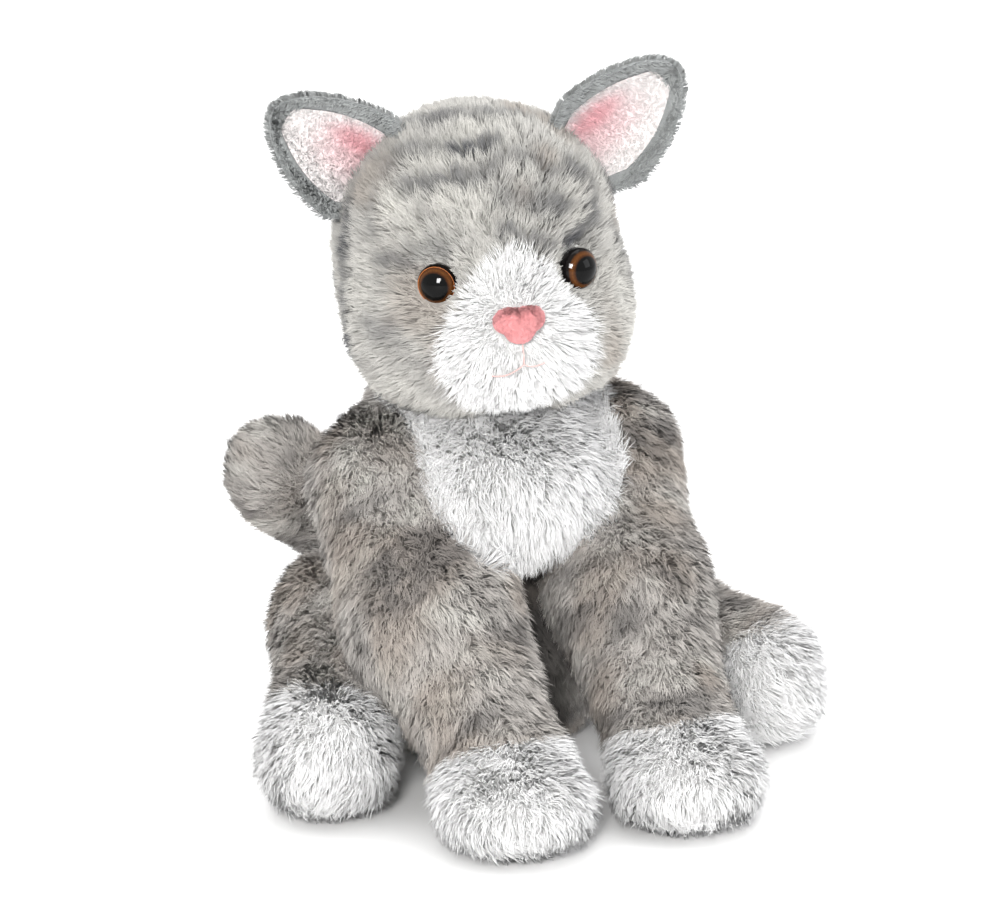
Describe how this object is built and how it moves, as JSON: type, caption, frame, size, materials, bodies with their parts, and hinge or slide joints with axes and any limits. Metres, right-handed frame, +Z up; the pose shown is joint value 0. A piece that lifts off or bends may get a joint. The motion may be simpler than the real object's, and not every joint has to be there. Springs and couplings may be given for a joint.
{
  "type": "plush cat",
  "caption": "Seated stuffed kitten in grey tabby plush with a white muzzle, bib and paws, a pink nose, amber eyes and soft flexing head, legs, ears and tail.",
  "frame": {"origin": "middle of the cat's overall box, on the surface it sits on", "axes": "+Z up, the cat looks along -Y, and its own left side is +X"},
  "size_m": [0.2376, 0.2665, 0.2715],
  "materials": {
    "tabby_pile": "dense grey plush pile with darker tabby bars",
    "white_pile": "dense white plush pile",
    "short_grey_pile": "short smooth grey pile",
    "ear_lining": "short white pile tinted pink",
    "pink_velour": "smooth pink velour",
    "mouth_thread": "twisted embroidery thread",
    "seam_thread": "sewing thread",
    "eye_clear": "clear polished plastic",
    "eye_amber": "amber iris with a black pupil, back painted",
    "washer_plastic": "moulded plastic",
    "stuffing": "loose polyester fibre",
    "bean_cloth": "woven cotton bag of plastic pellets"
  },
  "bodies": {
    "torso": {"torso_cover": "tabby_pile", "torso_stuffing": "stuffing", "chest_bib": "white_pile", "bean_bag": "bean_cloth", "closing_seam": "seam_thread"},
    "neck": {"neck_stuffing": "stuffing"},
    "head": {"head_cover": "tabby_pile", "head_stuffing": "stuffing", "muzzle_panel": "white_pile", "nose": "pink_velour", "mouth_stitch": "mouth_thread", "eye_left_dome": "eye_clear", "eye_left_iris": "eye_amber", "eye_left_washer": "washer_plastic", "eye_right_dome": "eye_clear", "eye_right_iris": "eye_amber", "eye_right_washer": "washer_plastic"},
    "ear_left": {"ear_left_outer": "short_grey_pile", "ear_left_lining": "ear_lining"},
    "ear_right": {"ear_right_outer": "short_grey_pile", "ear_right_lining": "ear_lining"},
    "front_leg_left": {"front_leg_left_cover": "tabby_pile", "front_paw_left_cover": "white_pile", "front_leg_left_stuffing": "stuffing"},
    "front_leg_right": {"front_leg_right_cover": "tabby_pile", "front_paw_right_cover": "white_pile", "front_leg_right_stuffing": "stuffing"},
    "hind_leg_left": {"hind_leg_left_cover": "tabby_pile", "hind_paw_left_cover": "white_pile", "hind_leg_left_stuffing": "stuffing"},
    "hind_leg_right": {"hind_leg_right_cover": "tabby_pile", "hind_paw_right_cover": "white_pile", "hind_leg_right_stuffing": "stuffing"},
    "tail": {"tail_cover": "tabby_pile", "tail_stuffing": "stuffing"}
  },
  "joints": [
    {"name": "head_turn", "type": "hinge", "parent": "torso", "child": "neck", "pos_m": [-0.007, 0.01524, 0.146], "axis": [0, 0, 1], "range_deg": [-20, 30], "stiffness_Nm_per_rad": 0.6},
    {"name": "head_nod", "type": "hinge", "parent": "neck", "child": "head", "pos_m": [-0.007, 0.01524, 0.146], "axis": [0.9781, -0.2079, 0], "range_deg": [-8, 10], "stiffness_Nm_per_rad": 1},
    {"name": "ear_left_flop", "type": "hinge", "parent": "head", "child": "ear_left", "pos_m": [0.03556, 0.00119, 0.24003], "axis": [0.6795, -0.1444, -0.7193], "range_deg": [-15, 15], "stiffness_Nm_per_rad": 0.06},
    {"name": "ear_right_flop", "type": "hinge", "parent": "head", "child": "ear_right", "pos_m": [-0.05488, 0.02041, 0.23356], "axis": [0.5749, -0.1222, 0.809], "range_deg": [-15, 15], "stiffness_Nm_per_rad": 0.06},
    {"name": "front_leg_left_swing", "type": "hinge", "parent": "torso", "child": "front_leg_left", "pos_m": [0.0375, -0.00076, 0.113], "axis": [-1, 0, 0], "range_deg": [-3, 30], "stiffness_Nm_per_rad": 0.5},
    {"name": "front_leg_right_swing", "type": "hinge", "parent": "torso", "child": "front_leg_right", "pos_m": [-0.0515, -0.00076, 0.113], "axis": [-1, 0, 0], "range_deg": [-3, 30], "stiffness_Nm_per_rad": 0.5},
    {"name": "hind_leg_left_splay", "type": "hinge", "parent": "torso", "child": "hind_leg_left", "pos_m": [0.042, 0.02584, 0.0486], "axis": [0, 0, 1], "range_deg": [0, 25], "stiffness_Nm_per_rad": 0.5},
    {"name": "hind_leg_right_splay", "type": "hinge", "parent": "torso", "child": "hind_leg_right", "pos_m": [-0.056, 0.02584, 0.0486], "axis": [0, 0, -1], "range_deg": [0, 25], "stiffness_Nm_per_rad": 0.5},
    {"name": "tail_wag", "type": "hinge", "parent": "torso", "child": "tail", "pos_m": [-0.004, 0.09624, 0.046], "axis": [0, 0, 1], "range_deg": [-30, 5], "stiffness_Nm_per_rad": 0.2}
  ]
}
